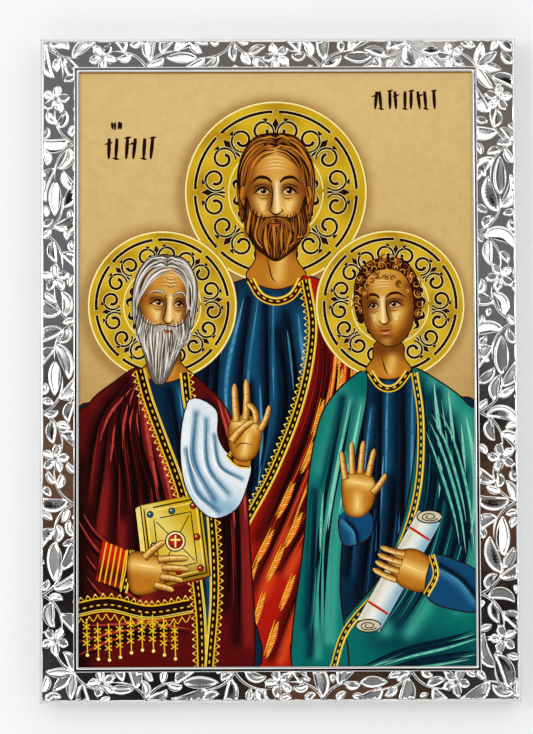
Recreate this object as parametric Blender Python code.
"""Icon panel: a picture on a thin board, over a wooden board, in a pressed silver frame.

The panel lies on its back with the picture facing up. X runs to the picture's right, Y to its top
and Z out of its face. Lengths are in metres.
"""

import math
import random

import bpy
import bmesh
from mathutils import Vector
from mathutils.geometry import delaunay_2d_cdt

MM = 0.001

# Overall size of the frame
WIDTH = 259 * MM
HEIGHT = 360 * MM

# Rails, each from the outer edge to the picture
RAIL_LEFT = 20.9 * MM
RAIL_RIGHT = 23.9 * MM
RAIL_TOP = 18.1 * MM
RAIL_BOTTOM = 19.2 * MM

# Thicknesses, from the back to the front
BOARD_THICKNESS = 13.5 * MM
PICTURE_THICKNESS = 2.0 * MM
LEDGE_THICKNESS = 0.9 * MM
CLEARANCE = 0.3 * MM

# Frame section
SKIRT_THICKNESS = 1.2 * MM
SKIRT_LIFT = 0.8 * MM
LIP_WIDTH = 1.7 * MM
LIP_RISE = 1.0 * MM
FILLET_WIDTH = 2.6 * MM
FILLET_RISE = 0.9 * MM
REBATE_DEPTH = 3.0 * MM
RELIEF_RISE = 0.8 * MM

# Board edges
BOARD_BEVEL = 0.8 * MM
PICTURE_BEVEL = 0.2 * MM

# Leaf band: sprays of leaves grow both ways from roots on alternate edges of the band
ROOT_SPACING = 56.0 * MM
SPRAY_REACH = 21.0 * MM
STEM_HALF_WIDTH = 0.8 * MM
LEAF_SPACING = 6.8 * MM
LEAF_LENGTH = 14.0 * MM
LEAF_HALF_WIDTH = 3.0 * MM
LEAF_LEAN = math.radians(38)
LEAF_CLEARANCE = 0.1 * MM
LEAF_SIZES = (1.5, 1.35, 1.2, 1.05, 0.9, 0.75, 0.6)
EDGE_SPACING = 3.4 * MM
EDGE_SIZES = (1.4, 1.15, 0.9, 0.7, 0.5)
FAN_ANGLES = tuple(math.radians(turn) for turn in (-40, 0, 40))
PETAL_COUNT = 5
PETAL_LENGTH = 7.0 * MM
PETAL_HALF_WIDTH = 2.5 * MM
PATTERN_SEED = 11

# Facets
RING_PITCH = 26.0 * MM
CORNER_RUN = 0.9 * MM
CORNER_PULL = 0.3 * MM
BEAD_SHARES = (0.12, 0.5, 0.88)
LEAF_SHARES = (0.28, 0.64)
PETAL_SHARES = (0.5, 0.88)
TEST_SHARES = (0.15, 0.3, 0.45, 0.6, 0.75, 0.9)
NEAR = 0.04 * MM

# Heights above the back
PICTURE_BASE = BOARD_THICKNESS + CLEARANCE
PICTURE_TOP = PICTURE_BASE + PICTURE_THICKNESS
LEDGE_BASE = PICTURE_TOP + CLEARANCE
GROUND = LEDGE_BASE + LEDGE_THICKNESS


class Outline:
    """A rectangle in plan, lying square to X and Y."""

    def __init__(self, left, right, bottom, top):
        self.left = left
        self.right = right
        self.bottom = bottom
        self.top = top

    def grown(self, distance):
        """The same rectangle with each side moved out by a distance."""
        return Outline(self.left - distance, self.right + distance, self.bottom - distance, self.top + distance)

    def depth(self, x, y):
        """How far a point lies inside the nearest side; negative outside."""
        return min(x - self.left, self.right - x, y - self.bottom, self.top - y)

    def corners(self):
        """The four corners, counter-clockwise from the lower left."""
        return [
            Vector((self.left, self.bottom)),
            Vector((self.right, self.bottom)),
            Vector((self.right, self.top)),
            Vector((self.left, self.top)),
        ]


OUTER = Outline(-WIDTH / 2, WIDTH / 2, -HEIGHT / 2, HEIGHT / 2)
WINDOW = Outline(
    -WIDTH / 2 + RAIL_LEFT,
    WIDTH / 2 - RAIL_RIGHT,
    -HEIGHT / 2 + RAIL_BOTTOM,
    HEIGHT / 2 - RAIL_TOP,
)
BAND_OUTER = OUTER.grown(-LIP_WIDTH)
BAND_INNER = WINDOW.grown(FILLET_WIDTH)
POCKET = OUTER.grown(-SKIRT_THICKNESS)
BOARD = POCKET.grown(-CLEARANCE)
REBATE = WINDOW.grown(REBATE_DEPTH)
PICTURE = REBATE.grown(-CLEARANCE)

# Ring spacing, shared by every ring so that neighbours join side to side
RING_STEPS_X = max(2, round(WIDTH / RING_PITCH))
RING_STEPS_Y = max(2, round(HEIGHT / RING_PITCH))


def clear_scene():
    """Remove every object that the file opened with."""
    for item in list(bpy.data.objects):
        bpy.data.objects.remove(item, do_unlink=True)


def make_material(name, colour, roughness, metallic):
    """A Principled material with one colour."""
    material = bpy.data.materials.new(name)
    material.use_nodes = True
    shader = material.node_tree.nodes["Principled BSDF"]
    shader.inputs["Base Color"].default_value = (*colour, 1.0)
    shader.inputs["Roughness"].default_value = roughness
    shader.inputs["Metallic"].default_value = metallic
    return material


def add_object(name, mesh_data, material):
    """Put a bmesh into the scene as a named object."""
    mesh = bpy.data.meshes.new(name)
    mesh_data.to_mesh(mesh)
    mesh_data.free()
    mesh.materials.append(material)
    item = bpy.data.objects.new(name, mesh)
    bpy.context.scene.collection.objects.link(item)
    return item


def make_slab(name, outline, base, top, bevel, material):
    """A flat board with softened edges."""
    shape = bmesh.new()
    bmesh.ops.create_cube(shape, size=1.0)
    size = (outline.right - outline.left, outline.top - outline.bottom, top - base)
    centre = ((outline.left + outline.right) / 2, (outline.bottom + outline.top) / 2, (base + top) / 2)
    bmesh.ops.scale(shape, vec=size, verts=shape.verts)
    bmesh.ops.translate(shape, vec=centre, verts=shape.verts)
    bmesh.ops.bevel(shape, geom=shape.edges[:], offset=bevel, segments=2, profile=0.5, affect="EDGES")
    return add_object(name, shape, material)


def heading(angle):
    """A unit step in plan."""
    return Vector((math.cos(angle), math.sin(angle)))


class Leaf:
    """A leaf, petal or stem in plan; blunt moves its widest place towards its tip."""

    def __init__(self, root, angle, length, half_width, curl=0.0, blunt=0.85):
        self.root = root
        self.angle = angle
        self.length = length
        self.half_width = half_width
        self.curl = curl
        self.blunt = blunt

    def width_at(self, share):
        """Half width at a share of the length."""
        return self.half_width * math.sin(math.pi * share ** self.blunt) ** 0.7

    def stroke(self, shares):
        """The middle line and the half width at each of its points, cut at some shares."""
        spine = [self.root.copy()]
        widths = [0.0]
        before = 0.0
        for share in (*shares, 1.0):
            turn = self.curl * ((before + share) / 2 - 0.3)
            spine.append(spine[-1] + heading(self.angle + turn) * (self.length * (share - before)))
            widths.append(self.width_at(share) if share < 1.0 else 0.0)
            before = share
        return spine, widths


def stroke_sides(stroke):
    """The two edges of a stroke, and its middle line."""
    spine, widths = stroke
    left = []
    right = []
    for index, point in enumerate(spine):
        ahead = spine[min(index + 1, len(spine) - 1)]
        behind = spine[max(index - 1, 0)]
        tangent = (ahead - behind).normalized()
        normal = Vector((-tangent.y, tangent.x))
        left.append(point + normal * widths[index])
        right.append(point - normal * widths[index])
    return left, right, spine


def stroke_share(stroke, point):
    """How far across a stroke a point lies: 0 on its middle line, 1 at its edge, more outside."""
    spine, widths = stroke
    best = 9.0
    for index in range(len(spine) - 1):
        start = spine[index]
        run = spine[index + 1] - start
        along = max(0.0, min(1.0, (point - start).dot(run) / run.length_squared))
        width = widths[index] + (widths[index + 1] - widths[index]) * along
        gap = (start + run * along - point).length
        if gap <= width and width > NEAR:
            best = min(best, gap / width)
    return best


def relief_height(strokes, point):
    """Height of the leaf relief over the ground at one point."""
    share = min((stroke_share(stroke, point) for stroke in strokes), default=9.0)
    return RELIEF_RISE * max(0.0, 1.0 - share) ** 0.7


def bead_height(share, rise):
    """Height of a half-round bead at a share of its width."""
    return rise * math.sqrt(max(0.0, 1.0 - (2.0 * share - 1.0) ** 2))


def top_height(strokes, x, y):
    """Height of the frame's face at one point in plan."""
    from_edge = OUTER.depth(x, y)
    from_window = -WINDOW.depth(x, y)
    if from_edge < LIP_WIDTH - NEAR:
        return GROUND + bead_height(from_edge / LIP_WIDTH, LIP_RISE)
    if from_window < FILLET_WIDTH - NEAR:
        return GROUND + bead_height(from_window / FILLET_WIDTH, FILLET_RISE)
    return GROUND + relief_height(strokes, Vector((x, y)))


def is_free(leaf, taken):
    """Whether a leaf keeps clear of the ones already there, apart from where it grows from."""
    spine, widths = leaf.stroke(TEST_SHARES)
    for other_spine, other_widths in taken:
        if (other_spine[0] - leaf.root).length > 3 * LEAF_LENGTH:
            continue
        for other, other_width in zip(other_spine, other_widths):
            if (other - leaf.root).length < other_width + leaf.half_width:
                continue
            for point, width in zip(spine[2:], widths[2:]):
                if (other - point).length < width + other_width + LEAF_CLEARANCE:
                    return False
    return True


def spray_stem(root, along, inward, side, reach, band):
    """A stem that crosses the band from its root and runs on beside the far edge."""
    across = inward * (-side * band)
    first = root + along * (reach * 0.3) + across * 0.72
    last = root + along * reach + across * 0.62
    spine = []
    for share in (0.0, 0.25, 0.5, 0.75, 1.0):
        spine.append(root * (1 - share) ** 2 + first * (2 * share * (1 - share)) + last * share ** 2)
    widths = [STEM_HALF_WIDTH, *(STEM_HALF_WIDTH * size for size in (0.9, 0.75, 0.6, 0.0))]
    return spine, widths


def grow_leaves(stem, taken, chance):
    """Leaves on both sides of a stem and one at its tip, each as long as its neighbours allow."""
    spine, _ = stem
    length = sum((end - start).length for start, end in zip(spine, spine[1:]))
    count = max(2, round(length / LEAF_SPACING))
    leaves = []
    for index in range(2 * count, -1, -1):
        place = (index + 0.35) / (2 * count + 0.35) * (len(spine) - 1)
        at = min(int(place), len(spine) - 2)
        root = spine[at].lerp(spine[at + 1], min(1.0, place - at))
        tangent = spine[at + 1] - spine[at]
        side = 0 if index == 2 * count else (1 if index % 2 else -1)
        angle = math.atan2(tangent.y, tangent.x) + side * LEAF_LEAN * chance.uniform(0.8, 1.35)
        curl = -side * chance.uniform(0.8, 2.0)
        for size in LEAF_SIZES:
            half_width = LEAF_HALF_WIDTH * (0.4 + 0.6 * size) * chance.uniform(0.9, 1.1)
            leaf = Leaf(root, angle, LEAF_LENGTH * size, half_width, curl)
            if is_free(leaf, taken):
                leaves.append(leaf)
                taken.append(leaf.stroke(TEST_SHARES))
                break
    return leaves


def corner_fan(root, corner, band):
    """Leaves spread from an inner corner of the band towards its outer corner."""
    towards = corner - root
    middle = math.atan2(towards.y, towards.x)
    return [Leaf(root, middle + turn, band, LEAF_HALF_WIDTH, turn * 0.4) for turn in FAN_ANGLES]


def edge_leaves(taken, chance):
    """Short leaves that come in from both edges of the band wherever there is room."""
    leaves = []
    for start_out, start_in, end_out, end_in, along, inward, _ in rails():
        for start, end, inwards in ((start_out, end_out, inward), (start_in, end_in, -inward)):
            run = (end - start).dot(along)
            steps = round(run / EDGE_SPACING)
            for step in range(steps):
                root = start + along * (run * (step + 0.5) / steps) - inwards * STEM_HALF_WIDTH
                lean = chance.uniform(-1.0, 1.0)
                angle = math.atan2(inwards.y, inwards.x) + lean
                for size in EDGE_SIZES:
                    half_width = LEAF_HALF_WIDTH * (0.4 + 0.6 * size)
                    leaf = Leaf(root, angle, LEAF_LENGTH * size, half_width, lean * 1.7)
                    if is_free(leaf, taken):
                        leaves.append(leaf)
                        taken.append(leaf.stroke(TEST_SHARES))
                        break
    return leaves


def flower(heart, turn):
    """Petals round a heart."""
    petals = []
    for index in range(PETAL_COUNT):
        angle = turn + 2 * math.pi * index / PETAL_COUNT
        root = heart + heading(angle) * STEM_HALF_WIDTH * 0.6
        petals.append(Leaf(root, angle, PETAL_LENGTH, PETAL_HALF_WIDTH, 0.0, 1.4))
    return petals


def rails():
    """Each rail of the band: its start and end corners on both edges, its direction and its width."""
    outer = BAND_OUTER.corners()
    inner = BAND_INNER.corners()
    found = []
    for index in range(4):
        ahead = (index + 1) % 4
        along = (outer[ahead] - outer[index]).normalized()
        inward = Vector((-along.y, along.x))
        band = (inner[index] - outer[index]).dot(inward)
        found.append((outer[index], inner[index], outer[ahead], inner[ahead], along, inward, band))
    return found


def grow_band():
    """Every stem, leaf and petal of the band, as strokes."""
    chance = random.Random(PATTERN_SEED)
    stems = []
    petals = []
    fans = []
    side = 1
    for start_out, start_in, end_out, end_in, along, inward, band in rails():
        first = (start_out + start_in) / 2
        run = ((end_out + end_in) / 2 - first).dot(along)
        units = 2 * max(0, round((run / ROOT_SPACING - 1) / 2)) + 1
        unit = run / units
        reach = min(SPRAY_REACH, unit * 0.42)
        for index in range(units):
            near = first + along * (unit * index) + inward * (side * band / 2)
            far = first + along * (unit * (index + 1)) - inward * (side * band / 2)
            if index == 0:
                near = start_in if side > 0 else start_out
                if side > 0:
                    fans += corner_fan(start_in, start_out, band)
            if index == units - 1:
                far = end_out if side > 0 else end_in
            stems.append(spray_stem(near, along, inward, side, reach, band))
            stems.append(spray_stem(far, -along, inward, -side, reach, band))
            if index % 2 == 0:
                heart = first + along * (unit * (index + 0.5)) + inward * (band * 0.1 * side)
                petals += flower(heart, chance.uniform(0.0, 1.2))
            side = -side
    taken = stems + [leaf.stroke(TEST_SHARES) for leaf in petals + fans]
    leaves = []
    for stem in stems:
        leaves += grow_leaves(stem, taken, chance)
    leaves += edge_leaves(taken, chance)
    strokes = list(stems)
    strokes += [leaf.stroke(LEAF_SHARES) for leaf in leaves + fans]
    strokes += [petal.stroke(PETAL_SHARES) for petal in petals]
    return strokes


def ring(outline, height, pull=0.0):
    """Points round a rectangle at one height; pull draws the corner points in to round them."""
    corners = outline.corners()
    points = []
    for index, corner in enumerate(corners):
        following = corners[(index + 1) % 4]
        run = following - corner
        along = run.normalized()
        back = (corners[index - 1] - corner).normalized()
        tip = corner + (along + back) * pull
        steps = RING_STEPS_X if index % 2 == 0 else RING_STEPS_Y
        points.append((tip.x, tip.y, height))
        near, far = corner + along * CORNER_RUN, following - along * CORNER_RUN
        for step in range(steps + 1):
            place = near.lerp(far, step / steps)
            points.append((place.x, place.y, height))
    return points


def band_parts(start, end):
    """The parts of a straight run that lie on the leaf band."""
    run = end - start
    cuts = [0.0, 1.0]
    for outline in (BAND_OUTER, BAND_INNER):
        for side in (outline.left, outline.right):
            if abs(run.x) > 1e-12:
                cuts.append((side - start.x) / run.x)
        for side in (outline.bottom, outline.top):
            if abs(run.y) > 1e-12:
                cuts.append((side - start.y) / run.y)
    cuts = sorted(cut for cut in cuts if 0.0 <= cut <= 1.0)
    parts = []
    for first, second in zip(cuts, cuts[1:]):
        if (second - first) * run.length < NEAR:
            continue
        middle = start + run * ((first + second) / 2)
        on_band = BAND_OUTER.depth(middle.x, middle.y) > 0 > BAND_INNER.depth(middle.x, middle.y)
        if on_band:
            parts.append((start + run * first, start + run * second))
    return parts


def face_triangles(strokes):
    """The frame's face in plan, cut along every leaf edge, leaf rib, bead and corner."""
    places = []
    edges = []
    loops = [ring(OUTER, 0.0, CORNER_PULL)]
    for share in BEAD_SHARES:
        loops.append(ring(OUTER.grown(-LIP_WIDTH * share), 0.0, CORNER_PULL * max(0.0, 1.0 - 2.0 * share)))
    loops += [ring(BAND_OUTER, 0.0), ring(BAND_INNER, 0.0)]
    loops += [ring(WINDOW.grown(FILLET_WIDTH * share), 0.0) for share in BEAD_SHARES]
    loops += [ring(WINDOW, 0.0)]
    for loop in loops:
        first = len(places)
        places += [Vector((x, y)) for x, y, _ in loop]
        edges += [(first + i, first + (i + 1) % len(loop)) for i in range(len(loop))]
    for stroke in strokes:
        for line in stroke_sides(stroke):
            for start, end in zip(line, line[1:]):
                for part in band_parts(start, end):
                    edges.append((len(places), len(places) + 1))
                    places += part
    points, _, faces, _, _, _ = delaunay_2d_cdt([place / MM for place in places], edges, [], 0, NEAR / MM)
    return [point * MM for point in points], faces


def build_frame(material):
    """The pressed silver frame: face, skirt, pocket for the board and rebate for the picture."""
    strokes = grow_band()
    points, faces = face_triangles(strokes)
    shape = bmesh.new()
    verts = [shape.verts.new((p.x, p.y, top_height(strokes, p.x, p.y))) for p in points]
    for face in faces:
        middle = sum((points[corner] for corner in face), Vector((0.0, 0.0))) / len(face)
        if WINDOW.depth(middle.x, middle.y) < 0:
            shape.faces.new([verts[corner] for corner in face])
    bmesh.ops.delete(shape, geom=[vert for vert in shape.verts if not vert.link_faces], context="VERTS")
    rim = [(x, y, top_height((), x, y)) for x, y, _ in ring(OUTER, GROUND, CORNER_PULL)]
    sections = [
        rim,
        ring(OUTER, SKIRT_LIFT, CORNER_PULL),
        ring(POCKET, SKIRT_LIFT),
        ring(POCKET, PICTURE_BASE),
        ring(REBATE, PICTURE_BASE),
        ring(REBATE, LEDGE_BASE),
        ring(WINDOW, LEDGE_BASE),
        ring(WINDOW, GROUND),
    ]
    loops = [[shape.verts.new(place) for place in section] for section in sections]
    for upper, lower in zip(loops, loops[1:]):
        for index in range(len(upper)):
            ahead = (index + 1) % len(upper)
            shape.faces.new((upper[index], lower[index], lower[ahead], upper[ahead]))
    bmesh.ops.remove_doubles(shape, verts=shape.verts, dist=NEAR / 2)
    bmesh.ops.triangulate(shape, faces=shape.faces)
    bmesh.ops.recalc_face_normals(shape, faces=shape.faces)
    return add_object("silver_frame", shape, material)


def main():
    """Build the three pieces."""
    clear_scene()
    wood = make_material("board_wood", (0.32, 0.21, 0.12), 0.65, 0.0)
    print_paint = make_material("picture_print", (0.45, 0.22, 0.08), 0.25, 0.0)
    silver = make_material("polished_silver", (0.86, 0.86, 0.85), 0.15, 1.0)
    make_slab("backing_board", BOARD, 0.0, BOARD_THICKNESS, BOARD_BEVEL, wood)
    make_slab("picture_panel", PICTURE, PICTURE_BASE, PICTURE_TOP, PICTURE_BEVEL, print_paint)
    build_frame(silver)


main()
